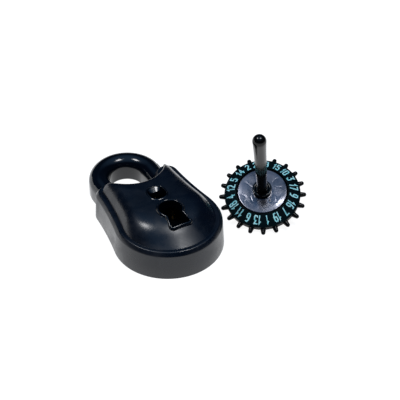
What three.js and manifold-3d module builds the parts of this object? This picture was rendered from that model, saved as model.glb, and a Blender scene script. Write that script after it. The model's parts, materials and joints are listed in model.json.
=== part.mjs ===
// Combination padlock with a lift-out number dial. Millimetres, +Z up.
// The lock lies on its back. The origin is the centre of its round part, on the back face,
// and +Y runs to the shackle. The dial stands beside the lock on its point and two pegs.
import * as THREE from "three";
import { mergeVertices } from "three/addons/utils/BufferGeometryUtils.js";
import Module from "manifold-3d";

const wasm = await Module();
wasm.setup();

// ---------- driving dimensions ----------
const GAP = 0.3;                 // between pieces that touch in the real lock

// casing outline: round part, waist, shoulders, and the hollow between the shoulders
const ROUND_R = 25;
const WAIST_R = 165;
const SHOULDER = { x: 9.3, y: 29.33, r: 12.16 };
const HOLLOW = { y: 36.24, r: 10.45 };
const TIP_R = 6.29;

// casing section: wall, bevelled edge, narrow border, and the raised face inside the border
const WALL = 1.8;
const DRAFT = Math.tan(THREE.MathUtils.degToRad(3));
const WALL_TOP = 12.1;
const EDGE_BEND = [1.0, 12.9];   // [inset, height] of the bevel's lower corner, rounded
const EDGE_TOP = [1.8, 13.85];
const RIM = { z: 14, from: 2.2, to: 3.1 };
const FOOT = { inset: 3.8, z: 13.8 };
const INNER_STEP = 1.4;          // how much further in the face starts on the inside
const FACE = { rise: 8.62, fillet: 1.04, power: 1.9, earPower: 5.2, earFrom: -22, earOver: 32, blend: 4 };
const FACE_STEPS = [1, 0.985, 0.955, 0.91, 0.83, 0.68, 0.45, 0.2];
const DOME_C = { x: 0, y: 4 };   // the face's highest point
const MESH_C = { x: 0, y: -2.4 };  // the point that the casing's rings shrink towards, inside the keyhole

// face openings
const KEYHOLE = { x: 0, y: -2.4, r: 5.1, neck: 3.6, neckY: -7, foot: 4.6, footY: -12.4 };
const BEZEL_W = 1.2;
const BEZEL_RISE = 0.8;
const WINDOW = { x: 0, y: 10.3, w: 7.6, h: 8.4, corner: 3.2 };
const FRAME_W = 0.9;
const FRAME_RISE = 0.25;
const FACE_UNDER_Z = 17.2;       // the keyhole border and window frame reach down to here

// back cover and screws
const COVER_T = 2;
const SCREW = { headR: 2.2, headH: 1.1, shankR: 1.1, length: 7 };
const BOSS_R = 2.3;
const BOSS_SKIN = 1;              // casing left over a boss
const BOSSES = [
  { x: 18.3, y: 12.5, top: 22 },
  { x: -18.3, y: 12.5, top: 22 },
  { x: -2.5, y: 20.9, top: 22 },
  { x: 0, y: -20.7, top: 7.5 },
];

// shackle
const BOW = { y: 41.4, inner: 7.9, outer: 17.4, height: 11.2 };
const TANG = { inner: 8.9, outer: 16.4, low: 2.6, high: 9.6 };
const HEEL_END = 16.8;
const TOE_END = 19.2;
const TRAVEL = 16.5;             // brings the toe out of its ear
const GUIDE = { low: 24.2, high: 26.6, top: 10.8, wall: 1.1 };
const TAIL = { inner: 9.5, outer: 14.9, low: 2.6, high: 5.9 };
const CLIP = { y: GUIDE.low - GAP - TRAVEL - 1.0, t: 1.0, bite: 0.7, inner: 7.4, outer: 15.5, high: 6.8 };
const POCKET = { low: 20.5, high: 24.0, depth: 3 };

// latch
const LATCH = { x: 5, y: 17, z: 3.3, t: 1.5, boreR: 1.4, padR: 3.0 };
const NOSE = { x: 7.1, y: 22.6, w: 1.8, back: 2.6, front: 1.4 };
const FOLLOWER = { x: 1.6, y: 5.2 };
const SPRING_POST = { x: LATCH.x + 3.3, y: LATCH.y - 6.2, r: 0.8, footR: 1.5 };
const SPRING = { r: 2.0, wire: 0.28, turns: 2, low: 0.65, high: 2.35 };
const CUP = { y: -2, flangeR: 3.4, shankR: 2.4, mouthR: 1.9, floor: 0.6, top: 2.9 };
const CLICK = { z: 8.6, half: 1.4, t: 0.22, rivetY: 4.6, wallX: -21.8, headX: -20.2 };

// dial, in its own frame: point at the origin, axis +Z
const DIAL_AT = { x: 50.35, y: 1.3 };
const LEAN_TO = THREE.MathUtils.degToRad(-128.9);  // compass direction in which the post leans
const PEGS = 20;
const PEG_TURN = 2 * Math.PI / PEGS;
const PEG_Z = 8.7;
const PEG_R = 1.0;
const PEG_END = 20;
const PEG_ROOT = 15.6;
const WHEEL = { r: 17, low: 7.2, high: 9.9, hubR: 5, hubLow: 4.7, bore: 2.3 };
const RING = { inner: 11.9, outer: 17.4, low: 10.2, outerTop: 11.0, innerTop: 13.6 };
const DISC = { r: 11.6, low: 10.2, edge: 13.3, crown: 0.6, corner: 0.9, bore: 2.3 };
const COLLAR = { r: 4.4, bore: 2.3, high: 16, notch: 1.4 };
const POST = { low: 1.9, r: 2, shoulder: 16.4, shaftR: 2.35, middleR: 2.7, middle: 40, topR: 3.1, top: 61.2 };
const POST_BORE = 1.5;
const CAM = { r: 6, low: 2.6, high: 4.1, notch: 2.4 };
const TIP = { r: 1.2, coneR: 1.45, coneH: 1.6, top: 5.6, nose: 0.35 };

// ---------- materials ----------
function finish(color, roughness, metalness) {
  return new THREE.MeshStandardMaterial({ color, roughness, metalness });
}
const GLOSS_NAVY = finish(0x10161f, 0.16, 0.1);
const DIAL_BLACK = finish(0x14181d, 0.3, 0.0);
const RING_TEAL = finish(0x122229, 0.35, 0.0);
const VIOLET_GLOSS = finish(0x3c3a48, 0.12, 0.3);
const GUNMETAL = finish(0x3f454c, 0.3, 0.8);
const STEEL = finish(0x8f9499, 0.35, 1.0);
const SPRING_STEEL = finish(0x6f7478, 0.3, 1.0);
const BRASS = finish(0xb08d4a, 0.35, 1.0);

// ---------- solids ----------
function toSolid(geometry) {
  const bare = geometry.clone();
  for (const name of Object.keys(bare.attributes)) {
    if (name !== "position") bare.deleteAttribute(name);
  }
  const merged = mergeVertices(bare, 1e-4);
  const vertProperties = new Float32Array(merged.attributes.position.array);
  const triVerts = new Uint32Array(merged.index.array);
  return new wasm.Manifold(new wasm.Mesh({ numProp: 3, vertProperties, triVerts }));
}

function toGeometry(solid) {
  const { vertProperties, triVerts, numProp } = solid.getMesh();
  const count = vertProperties.length / numProp;
  const position = new Float32Array(count * 3);
  for (let i = 0; i < count; i += 1) {
    for (let k = 0; k < 3; k += 1) position[3 * i + k] = vertProperties[numProp * i + k];
  }
  const geometry = new THREE.BufferGeometry();
  geometry.setAttribute("position", new THREE.BufferAttribute(position, 3));
  geometry.setIndex(new THREE.BufferAttribute(new Uint32Array(triVerts), 1));
  geometry.computeVertexNormals();
  return geometry;
}

function named(name, solid, material) {
  const mesh = new THREE.Mesh(toGeometry(solid), material);
  mesh.name = name;
  return mesh;
}

function box(x0, x1, y0, y1, z0, z1) {
  const geometry = new THREE.BoxGeometry(x1 - x0, y1 - y0, z1 - z0);
  geometry.translate((x0 + x1) / 2, (y0 + y1) / 2, (z0 + z1) / 2);
  return toSolid(geometry);
}

function rod(x, y, r, z0, z1, sides = 24) {
  const geometry = new THREE.CylinderGeometry(r, r, z1 - z0, sides);
  geometry.rotateX(Math.PI / 2);
  geometry.translate(x, y, (z0 + z1) / 2);
  return toSolid(geometry);
}

function prism(points, z0, z1) {
  const shape = new THREE.Shape(points.map(([x, y]) => new THREE.Vector2(x, y)));
  const geometry = new THREE.ExtrudeGeometry(shape, { depth: z1 - z0, bevelEnabled: false });
  geometry.translate(0, 0, z0);
  return toSolid(geometry);
}

// profile: [radius, height] pairs that start and end on the axis
function turned(profile, sides = 32) {
  const geometry = new THREE.LatheGeometry(profile.map(([r, z]) => new THREE.Vector2(r, z)), sides);
  geometry.rotateX(Math.PI / 2);
  return toSolid(geometry);
}

// a turned ring: the profile, listed counter-clockwise, closes on itself off the axis
function turnedRing(profile, sides = 32) {
  const closed = [...profile, profile[0]];
  return turned(closed, sides);
}

// rings of equal length, each [x, y, z] and counter-clockwise from above, lowest ring first
function loft(rings) {
  const n = rings[0].length;
  const position = rings.flat(2);
  const index = [];
  for (let k = 0; k < rings.length - 1; k += 1) {
    for (let i = 0; i < n; i += 1) {
      const a = k * n + i;
      const b = k * n + (i + 1) % n;
      index.push(a, b, b + n, a, b + n, a + n);
    }
  }
  const ends = [[0, rings[0]], [(rings.length - 1) * n, rings[rings.length - 1]]];
  ends.forEach(([start, ring], end) => {
    const centre = position.length / 3;
    position.push(MESH_C.x, MESH_C.y, ring[0][2]);
    for (let i = 0; i < n; i += 1) {
      const a = start + i;
      const b = start + (i + 1) % n;
      if (end === 0) index.push(centre, b, a);
      else index.push(centre, a, b);
    }
  });
  const geometry = new THREE.BufferGeometry();
  geometry.setAttribute("position", new THREE.BufferAttribute(new Float32Array(position), 3));
  geometry.setIndex(index);
  return toSolid(geometry);
}

function arc(cx, cy, r, from, to, steps) {
  const points = [];
  for (let i = 0; i <= steps; i += 1) {
    const a = from + (to - from) * i / steps;
    points.push([cx + r * Math.cos(a), cy + r * Math.sin(a)]);
  }
  return points;
}

// the crossing of two circles that lies to the right of the line from the first centre to the second
function crossing(x0, y0, r0, x1, y1, r1) {
  const d = Math.hypot(x1 - x0, y1 - y0);
  const along = (r0 * r0 - r1 * r1 + d * d) / (2 * d);
  const side = Math.sqrt(Math.max(r0 * r0 - along * along, 0));
  const ux = (x1 - x0) / d;
  const uy = (y1 - y0) / d;
  return [x0 + along * ux + side * uy, y0 + along * uy - side * ux];
}

// ---------- casing ----------
// the right-hand arcs from the low end to an angle on the shoulder, moved inwards by inset
function sideArcs(inset, shoulderEnd) {
  const [wx, wy] = crossing(0, 0, ROUND_R + WAIST_R, SHOULDER.x, SHOULDER.y, SHOULDER.r + WAIST_R);
  const toWaist = Math.atan2(wy, wx);
  const waistEnd = Math.atan2(SHOULDER.y - wy, SHOULDER.x - wx);
  const waistTo = waistEnd < 0 ? waistEnd + 2 * Math.PI : waistEnd;
  return [
    ...arc(0, 0, ROUND_R - inset, -Math.PI / 2, toWaist, 14),
    ...arc(wx, wy, WAIST_R + inset, toWaist + Math.PI, waistTo, 3).slice(1),
    ...arc(SHOULDER.x, SHOULDER.y, SHOULDER.r - inset, waistTo - Math.PI, shoulderEnd, 6).slice(1),
  ];
}

function bothSides(half) {
  const mirrored = half.slice(1, -1).reverse().map(([x, y]) => [-x, y]);
  return [...half, ...mirrored];
}

// the outline, moved inwards by inset: arcs only, so the same arcs keep their centres
function outline(inset) {
  const tip = Math.max(TIP_R - inset, 0.5);
  const [fx, fy] = crossing(SHOULDER.x, SHOULDER.y, SHOULDER.r - inset - tip,
    0, HOLLOW.y, HOLLOW.r + inset + tip);
  const shoulderEnd = Math.atan2(fy - SHOULDER.y, fx - SHOULDER.x);
  const tipEnd = Math.atan2(HOLLOW.y - fy, -fx);
  const hollowStart = Math.atan2(fy - HOLLOW.y, fx);
  return bothSides([
    ...sideArcs(inset, shoulderEnd),
    ...arc(fx, fy, tip, shoulderEnd, tipEnd, 4).slice(1),
    ...arc(0, HOLLOW.y, HOLLOW.r + inset, hollowStart, -Math.PI / 2, 6).slice(1),
  ]);
}

// the same outline with the hollow filled in
function fullOutline(inset) {
  return bothSides([...sideArcs(inset, Math.PI / 2), [0, SHOULDER.y + SHOULDER.r - inset]]);
}

function level(points, z) {
  return points.map(([x, y]) => [x, y, z]);
}

// how many times (dx, dy) fits between the face's highest point and a line round it
function reach(line, dx, dy) {
  let far = 0;
  line.forEach(([x, y], i) => {
    const next = line[(i + 1) % line.length];
    const ax = x - DOME_C.x;
    const ay = y - DOME_C.y;
    const ex = next[0] - x;
    const ey = next[1] - y;
    const det = dx * ey - dy * ex;
    const times = (ax * ey - ay * ex) / det;
    const part = (ax * dy - ay * dx) / det;
    if (part > -1e-9 && part < 1 + 1e-9 && times > far) far = times;
  });
  return far;
}

function distanceTo(line, px, py) {
  let least = Infinity;
  line.forEach(([x, y], i) => {
    const next = line[(i + 1) % line.length];
    const ex = next[0] - x;
    const ey = next[1] - y;
    const t = ((px - x) * ex + (py - y) * ey) / (ex * ex + ey * ey);
    const k = Math.min(Math.max(t, 0), 1);
    least = Math.min(least, Math.hypot(px - x - k * ex, py - y - k * ey));
  });
  return least;
}

// the face's height over its foot: a flat-topped dome that falls off steeply along the foot line
function faceRise(x, y, full, foot) {
  const { rise, fillet, power, earPower, earFrom, earOver, blend } = FACE;
  const out = 1 / Math.max(reach(full, x - DOME_C.x, y - DOME_C.y), 1);
  const u = Math.min(Math.max((y - earFrom) / earOver, 0), 1);
  const n = power + (earPower - power) * u * u * (3 - 2 * u);
  const dome = Math.max(1 - out ** n, 1e-6);
  const rim = Math.max(Math.tanh(distanceTo(foot, x, y) / fillet), 1e-6);
  return rise * (dome ** -blend + rim ** -blend) ** (-1 / blend);
}

// rings of the face from its foot line up, the foot line lying at inset
function faceRings(inset, z) {
  const foot = outline(inset);
  const full = fullOutline(inset);
  return FACE_STEPS.map((s) => foot.map(([x, y]) => {
    const px = MESH_C.x + (x - MESH_C.x) * s;
    const py = MESH_C.y + (y - MESH_C.y) * s;
    return [px, py, z + faceRise(px, py, full, foot)];
  }));
}

function bend(from, over, to, t) {
  return from.map((value, k) => (1 - t) ** 2 * value + 2 * t * (1 - t) * over[k] + t * t * to[k]);
}

// outside of the casing, grown outwards by grow
function casingOuter(grow, bottom) {
  const start = [DRAFT * WALL_TOP, WALL_TOP];
  const rings = [level(outline(-grow), bottom), level(outline(start[0] - grow), WALL_TOP)];
  for (const t of [0.35, 0.7, 1]) {
    const [inset, z] = bend(start, EDGE_BEND, EDGE_TOP, t);
    rings.push(level(outline(inset - grow), z + grow * t));
  }
  rings.push(level(outline(RIM.from - grow), RIM.z + grow), level(outline(RIM.to - grow), RIM.z + grow));
  return loft([...rings, ...faceRings(FOOT.inset - grow, FOOT.z + grow)]);
}

// the hollow inside the casing, drawn in by shrink
function casingInner(shrink) {
  const wall = WALL + shrink;
  const high = WALL_TOP - WALL;
  const rings = [
    level(outline(wall), -1),
    level(outline(wall + DRAFT * high), high - shrink),
    level(outline(wall + EDGE_TOP[0]), EDGE_TOP[1] - wall),
  ];
  return loft([...rings, ...faceRings(FOOT.inset + INNER_STEP + shrink, FOOT.z - wall + 0.05)]);
}

function keyholePoints(grow) {
  const { x, y, r, neck, neckY, foot, footY } = KEYHOLE;
  const R = r + grow;
  const neckX = neck + grow;
  const neckTop = y - Math.sqrt(R * R - neckX * neckX);
  const start = Math.atan2(neckTop - y, neckX);
  const bow = arc(x, y, R, start, Math.PI - start, 22);
  const slope = (foot - neck) / (neckY - footY);
  const footX = neck + slope * (neckY - footY + grow) + grow;
  return [...bow, [x - footX, footY - grow], [x + footX, footY - grow]];
}

function windowPoints(grow) {
  const { x, y, w, h, corner } = WINDOW;
  const a = w / 2 - corner;
  const b = h / 2 - corner;
  const r = corner + grow;
  const q = Math.PI / 2;
  return [
    ...arc(x + a, y - b, r, -q, 0, 5),
    ...arc(x + a, y + b, r, 0, q, 5),
    ...arc(x - a, y + b, r, q, 2 * q, 5),
    ...arc(x - a, y - b, r, 2 * q, 3 * q, 5),
  ];
}

function tangBox(side, grow, y0, y1) {
  const x0 = TANG.inner - grow;
  const x1 = TANG.outer + grow;
  return box(side < 0 ? -x1 : x0, side < 0 ? -x0 : x1, y0, y1, TANG.low - grow, TANG.high + grow);
}

function frontCasing() {
  let shell = casingOuter(0, 0).subtract(casingInner(0));
  for (const boss of BOSSES) {
    const column = rod(boss.x, boss.y, BOSS_R, COVER_T + GAP, boss.top);
    shell = shell.add(column.intersect(casingOuter(-BOSS_SKIN, 0)));
    shell = shell.subtract(rod(boss.x, boss.y, SCREW.shankR + 0.1, COVER_T, SCREW.length + 0.6, 16));
  }
  shell = shell.subtract(prism(keyholePoints(BEZEL_W + GAP), 10, 30));
  shell = shell.subtract(prism(windowPoints(FRAME_W + GAP), 10, 30));
  for (const side of [-1, 1]) shell = shell.subtract(tangBox(side, GAP, 24, 45));
  return shell.subtract(clickRivet(0.25));
}

function keyholeBezel() {
  const ring = prism(keyholePoints(BEZEL_W), FACE_UNDER_Z, 30).subtract(prism(keyholePoints(0), 10, 31));
  return ring.intersect(casingOuter(BEZEL_RISE, 0));
}

function windowFrame() {
  const ring = prism(windowPoints(FRAME_W), FACE_UNDER_Z, 30).subtract(prism(windowPoints(0), 10, 31));
  return ring.intersect(casingOuter(FRAME_RISE, 0));
}

function backCover() {
  let cover = prism(outline(WALL + GAP), 0, COVER_T);
  cover = cover.subtract(rod(0, CUP.y, CUP.shankR + GAP, -1, COVER_T + 1));
  for (const boss of BOSSES) {
    cover = cover.subtract(rod(boss.x, boss.y, SCREW.headR + GAP, -1, SCREW.headH + GAP));
    cover = cover.subtract(rod(boss.x, boss.y, SCREW.shankR + GAP, -1, COVER_T + 1, 16));
  }
  return cover;
}

function backScrew(boss) {
  const shank = rod(boss.x, boss.y, SCREW.shankR - 0.2, SCREW.headH - 0.2, SCREW.length, 12);
  const slot = box(boss.x - 1.5, boss.x + 1.5, boss.y - 0.3, boss.y + 0.3, -1, 0.6);
  const cross = box(boss.x - 0.3, boss.x + 0.3, boss.y - 1.5, boss.y + 1.5, -1, 0.6);
  return rod(boss.x, boss.y, SCREW.headR, 0.05, SCREW.headH).add(shank).subtract(slot).subtract(cross);
}

// ---------- shackle ----------
// the bow's section: flat underneath, upright sides, round top; [radius, height]
function bowSection() {
  const { inner, outer, height } = BOW;
  const r = (outer - inner) / 2;
  const middle = (inner + outer) / 2;
  const foot = 0.5;
  return [
    [inner + foot, 0],
    [outer - foot, 0],
    [outer, foot],
    ...arc(middle, height - r, r, 0, Math.PI, 12),
    [inner, foot],
  ];
}

function leg(side) {
  const shape = new THREE.Shape(bowSection().map(([x, z]) => new THREE.Vector2(x, z)));
  const geometry = new THREE.ExtrudeGeometry(shape, { depth: 15, bevelEnabled: false });
  geometry.rotateX(Math.PI / 2);
  geometry.translate(0, BOW.y, 0);
  if (side < 0) geometry.rotateZ(Math.PI).translate(0, 2 * BOW.y - 15, 0);
  return toSolid(geometry);
}

function shackle() {
  const section = bowSection().map(([r, z]) => new THREE.Vector2(r, z));
  const ringGeometry = new THREE.LatheGeometry([...section, section[0]], 56);
  ringGeometry.rotateX(Math.PI / 2);
  ringGeometry.translate(0, BOW.y, 0);
  const ring = toSolid(ringGeometry).intersect(box(-30, 30, BOW.y, BOW.y + 30, -5, 30));
  const bow = ring.add(leg(1)).add(leg(-1)).subtract(casingOuter(0.35, -1));
  const pocket = box(TANG.inner - 1, TANG.inner + POCKET.depth, POCKET.low, POCKET.high,
    TANG.low - 1, LATCH.z + LATCH.t + 0.5);
  const toe = tangBox(1, 0, TOE_END, BOW.y).subtract(pocket);
  return bow.add(tangBox(-1, 0, HEEL_END, BOW.y)).add(toe).add(heelTail());
}

function tailBox(shrink, y0, y1) {
  return box(-TAIL.outer + shrink, -TAIL.inner - shrink, y0, y1, TAIL.low + shrink, TAIL.high - shrink);
}

// the thin rod behind the heel, necked for its clip
function heelTail() {
  const low = CLIP.y - GAP;
  const high = CLIP.y + CLIP.t + GAP;
  const neck = tailBox(CLIP.bite + GAP, low - 0.5, high + 0.5);
  return tailBox(0, low - 1, low).add(neck).add(tailBox(0, high, HEEL_END + 1));
}

// a forked plate pushed over the tail's neck from above
function heelClip() {
  const y1 = CLIP.y + CLIP.t;
  const plate = box(-CLIP.outer, -CLIP.inner, CLIP.y, y1, COVER_T + GAP, CLIP.high);
  const mouth = tailBox(CLIP.bite, CLIP.y - 1, y1 + 1);
  const slot = box(-TAIL.outer + CLIP.bite, -TAIL.inner - CLIP.bite, CLIP.y - 1, y1 + 1, 0, TAIL.low + 1);
  return plate.subtract(mouth).subtract(slot);
}

function legGuide(side) {
  const block = tangBox(side, GAP + GUIDE.wall, GUIDE.low, GUIDE.high)
    .intersect(box(-30, 30, 0, 40, COVER_T + GAP, GUIDE.top))
    .intersect(casingInner(GAP));
  return block.subtract(tangBox(side, GAP, GUIDE.low - 1, GUIDE.high + 1));
}

// ---------- latch and click ----------
function bar(x0, y0, x1, y1, width, z0, z1) {
  const length = Math.hypot(x1 - x0, y1 - y0);
  const geometry = new THREE.BoxGeometry(length, width, z1 - z0);
  geometry.translate(length / 2, 0, 0);
  geometry.rotateZ(Math.atan2(y1 - y0, x1 - x0));
  geometry.translate(x0, y0, (z0 + z1) / 2);
  return toSolid(geometry);
}

function latchLever() {
  const { x, y, z, t, padR, boreR } = LATCH;
  const top = z + t;
  let lever = rod(x, y, padR, z, top, 28);
  lever = lever.add(bar(x, y, NOSE.x - 1.1, NOSE.y - 0.4, 3.0, z, top));
  const half = NOSE.w / 2;
  lever = lever.add(box(NOSE.x - NOSE.back, NOSE.x + NOSE.front, NOSE.y - half, NOSE.y + half, z, top));
  lever = lever.add(bar(x, y, FOLLOWER.x, FOLLOWER.y, 2.6, z, top));
  lever = lever.add(rod(FOLLOWER.x, FOLLOWER.y, 1.9, z, top, 20));
  const pinHole = rod(FOLLOWER.x, FOLLOWER.y, 0.9, z - 1, top + 1, 16);
  return lever.subtract(rod(x, y, boreR, z - 1, top + 1)).subtract(pinHole);
}

function followerPin() {
  const top = LATCH.z + LATCH.t;
  const shank = rod(FOLLOWER.x, FOLLOWER.y, 0.6, LATCH.z - 0.6, top + 0.6, 14);
  return shank.add(rod(FOLLOWER.x, FOLLOWER.y, 1.3, top + GAP, top + 1.0, 18));
}

function latchPivot() {
  const { x, y, z, t, boreR } = LATCH;
  const pin = rod(x, y, boreR - GAP, COVER_T + GAP, z + t + 3.2, 20);
  return pin.add(rod(x, y, 2.0, z + t + 2.9, z + t + 3.6));
}

function latchWasher() {
  const { x, y, z, boreR } = LATCH;
  return rod(x, y, 2.5, z - 0.65, z - 0.25).subtract(rod(x, y, boreR, z - 2, z + 2, 20));
}

// a coil with a leg at each end: the lower one lies against the spring post, the upper on the lever
function helix(z0, z1) {
  const { r, turns } = SPRING;
  const points = [new THREE.Vector3(r, -7.4, z0), new THREE.Vector3(r, -3.5, z0)];
  const steps = turns * 12;
  for (let i = 0; i <= steps; i += 1) {
    const a = turns * 2 * Math.PI * i / steps;
    points.push(new THREE.Vector3(r * Math.cos(a), r * Math.sin(a), z0 + (z1 - z0) * i / steps));
  }
  points.push(new THREE.Vector3(r, 3.0, z1), new THREE.Vector3(r, 5.5, z1));
  return new THREE.CatmullRomCurve3(points);
}

function tube(path, r, steps, sides) {
  const section = new THREE.Shape(arc(0, 0, r, 0, 2 * Math.PI * (sides - 1) / sides, sides - 1)
    .map(([x, y]) => new THREE.Vector2(x, y)));
  return new THREE.ExtrudeGeometry(section, { steps, bevelEnabled: false, extrudePath: path });
}

function latchSpring() {
  const top = LATCH.z + LATCH.t;
  const geometry = tube(helix(top + SPRING.low, top + SPRING.high), SPRING.wire, 44, 7);
  geometry.translate(LATCH.x, LATCH.y, 0);
  return toSolid(geometry);
}

function springPost() {
  const { x, y, r, footR } = SPRING_POST;
  const post = rod(x, y, r, COVER_T + GAP, LATCH.z + LATCH.t + 2.0, 16);
  return post.add(rod(x, y, footR, COVER_T + GAP, COVER_T + 1.2, 20));
}

// a bush through the back cover, with a cone for the dial's point
function pivotCup() {
  const { y } = CUP;
  const body = rod(0, y, CUP.flangeR, COVER_T + GAP, CUP.top).add(rod(0, y, CUP.shankR, 0.1, COVER_T + 0.5));
  const cone = new THREE.CylinderGeometry(CUP.mouthR, 0.4, CUP.top - CUP.floor + 0.1, 24);
  cone.rotateX(Math.PI / 2);
  cone.translate(0, y, (CUP.top + CUP.floor + 0.1) / 2);
  return body.subtract(toSolid(cone));
}

// leaf on edge, bent to a point that rides between two pegs
function clickSpring() {
  const centre = [[-20.7, 6.4], [-21.2, 2.2], [-19.4, -1.6], [-20.9, -4.6]];
  const { t } = CLICK;
  const left = [];
  const right = [];
  centre.forEach(([x, y], i) => {
    const [ax, ay] = centre[Math.max(i - 1, 0)];
    const [bx, by] = centre[Math.min(i + 1, centre.length - 1)];
    const d = Math.hypot(bx - ax, by - ay);
    const nx = -(by - ay) / d;
    const ny = (bx - ax) / d;
    left.push([x + nx * t, y + ny * t]);
    right.push([x - nx * t, y - ny * t]);
  });
  const leaf = prism([...right, ...left.reverse()], CLICK.z - CLICK.half, CLICK.z + CLICK.half);
  return leaf.subtract(clickRivet(0.3));
}

function clickRivet(grow) {
  const shank = new THREE.CylinderGeometry(0.5 + grow, 0.5 + grow, 3.0 + grow, 14);
  shank.rotateZ(Math.PI / 2);
  shank.translate(CLICK.wallX - grow / 2, CLICK.rivetY, CLICK.z);
  const head = new THREE.CylinderGeometry(1.1, 1.1, 0.5, 18);
  head.rotateZ(Math.PI / 2);
  head.translate(CLICK.headX, CLICK.rivetY, CLICK.z);
  return grow > 0 ? toSolid(shank) : toSolid(shank).add(toSolid(head));
}

// ---------- dial ----------
function pivotTip() {
  const { r, coneR, coneH, top, nose } = TIP;
  const cone = [[0, 0], [nose, 0.05], [coneR, coneH], [r, coneH + 0.1]];
  return turned([...cone, [r, top - 0.3], [r - 0.3, top], [0, top]], 24);
}

function dialSpindle() {
  const { low, r, shoulder, shaftR, middleR, middle, topR, top } = POST;
  const end = arc(0, top - topR, topR, 0, Math.PI / 2, 6);
  end[end.length - 1] = [0, top];
  const foot = [[0, low], [r, low], [r, shoulder]];
  const shaft = [[shaftR, shoulder], [middleR, middle], [topR - 0.15, top - topR - 5]];
  const outer = turned([...foot, ...shaft, ...end], 28);
  return outer.subtract(rod(0, 0, POST_BORE, low - 1, TIP.top + GAP, 20));
}

function peg(angle) {
  const straight = PEG_END - PEG_R - PEG_ROOT;
  const profile = [[0, 0], [PEG_R, 0], ...arc(0, straight, PEG_R, 0, Math.PI / 2, 3)];
  profile[profile.length - 1] = [0, PEG_END - PEG_ROOT];
  const geometry = new THREE.LatheGeometry(profile.map(([x, y]) => new THREE.Vector2(x, y)), 8);
  geometry.rotateZ(-Math.PI / 2);
  geometry.translate(PEG_ROOT, 0, PEG_Z);
  geometry.rotateZ(angle);
  return toSolid(geometry);
}

function dialWheel() {
  const { r, low, high, hubR, hubLow, bore } = WHEEL;
  let wheel = turnedRing([[bore, hubLow], [hubR, hubLow], [hubR + 1.5, low], [r - 0.4, low], [r, low + 0.4],
    [r, high], [bore, high]], 60);
  for (let i = 0; i < PEGS; i += 1) wheel = wheel.add(peg(LEAN_TO + (i + 0.5) * PEG_TURN));
  return wheel;
}

// a cone that rises towards the disc
function numberRing() {
  const { inner, outer, low, outerTop, innerTop } = RING;
  const top = [[outer, outerTop - 0.2], [outer - 0.3, outerTop], [inner, innerTop]];
  return turnedRing([[inner, low], [outer, low], ...top], 60);
}

function discTop(r) {
  return DISC.edge + DISC.crown * (1 - (r / DISC.r) ** 2);
}

function centreDisc() {
  const { r, low, bore, corner } = DISC;
  const roll = arc(r - corner, discTop(r - corner) - corner, corner, 0, Math.PI / 2, 3);
  const top = [0.7, 0.45].map((s) => [r * s, discTop(r * s)]);
  return turnedRing([[bore, low], [r, low], ...roll, ...top, [bore, discTop(bore)]], 44);
}

function hubCollar() {
  const { r, bore, high, notch } = COLLAR;
  const low = discTop(bore) + GAP;
  const ring = turnedRing([[bore, low], [r, low], [r, high - 0.4], [r - 0.5, high], [bore, high]], 32);
  const cut = new THREE.BoxGeometry(4, notch, 2);
  cut.translate(r, 0, high);
  cut.rotateZ(LEAN_TO);
  return ring.subtract(toSolid(cut));
}

function gateCam() {
  const { r, low, high, notch } = CAM;
  const bore = WHEEL.bore;
  return rod(0, 0, r, low, high, 36).subtract(rod(0, 0, bore, low - 1, high + 1))
    .subtract(box(r - 1.8, r + 1, -notch / 2, notch / 2, low - 1, high + 1));
}

function camWasher() {
  return rod(0, 0, 3.6, CAM.high + 0.1, WHEEL.hubLow - 0.1).subtract(rod(0, 0, WHEEL.bore, 0, 9));
}

// the lean that brings two neighbouring pegs down to the table while the point stays on it
function leanAngle() {
  const out = (PEG_END - PEG_R) * Math.cos(PEG_TURN / 2);
  return Math.acos(PEG_R / Math.hypot(PEG_Z, out)) - Math.atan2(out, PEG_Z);
}

function dialGroup() {
  const group = new THREE.Group();
  group.add(
    named("pivot_tip", pivotTip(), STEEL),
    named("dial_spindle", dialSpindle(), GUNMETAL),
    named("dial_wheel", dialWheel(), DIAL_BLACK),
    named("number_ring", numberRing(), RING_TEAL),
    named("centre_disc", centreDisc(), VIOLET_GLOSS),
    named("hub_collar", hubCollar(), GUNMETAL),
    named("gate_cam", gateCam(), BRASS),
    named("cam_washer", camWasher(), SPRING_STEEL),
  );
  const axis = new THREE.Vector3(-Math.sin(LEAN_TO), Math.cos(LEAN_TO), 0);
  group.setRotationFromAxisAngle(axis, leanAngle());
  group.position.set(DIAL_AT.x, DIAL_AT.y, 0.02);
  return group;
}

// ---------- the whole object ----------
const padlock = new THREE.Group();
padlock.add(
  named("front_casing", frontCasing(), GLOSS_NAVY),
  named("keyhole_bezel", keyholeBezel(), GLOSS_NAVY),
  named("window_frame", windowFrame(), GLOSS_NAVY),
  named("back_cover", backCover(), GLOSS_NAVY),
  ...BOSSES.map((boss, i) => named(`back_screw_${i + 1}`, backScrew(boss), STEEL)),
  named("shackle", shackle(), GLOSS_NAVY),
  named("heel_clip", heelClip(), SPRING_STEEL),
  named("heel_guide", legGuide(-1), BRASS),
  named("toe_guide", legGuide(1), BRASS),
  named("latch_lever", latchLever(), STEEL),
  named("follower_pin", followerPin(), BRASS),
  named("latch_pivot", latchPivot(), BRASS),
  named("latch_washer", latchWasher(), SPRING_STEEL),
  named("latch_spring", latchSpring(), SPRING_STEEL),
  named("latch_spring_post", springPost(), BRASS),
  named("pivot_cup", pivotCup(), BRASS),
  named("click_spring", clickSpring(), SPRING_STEEL),
  named("click_rivet", clickRivet(0), BRASS),
  dialGroup(),
);

export default padlock;
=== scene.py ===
"""Looks of the combination padlock and its lift-out number dial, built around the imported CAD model."""
import json
import math

import bmesh
import bpy
import numpy as np
from mathutils import Matrix, Vector, noise
from mathutils.bvhtree import BVHTree


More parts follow.
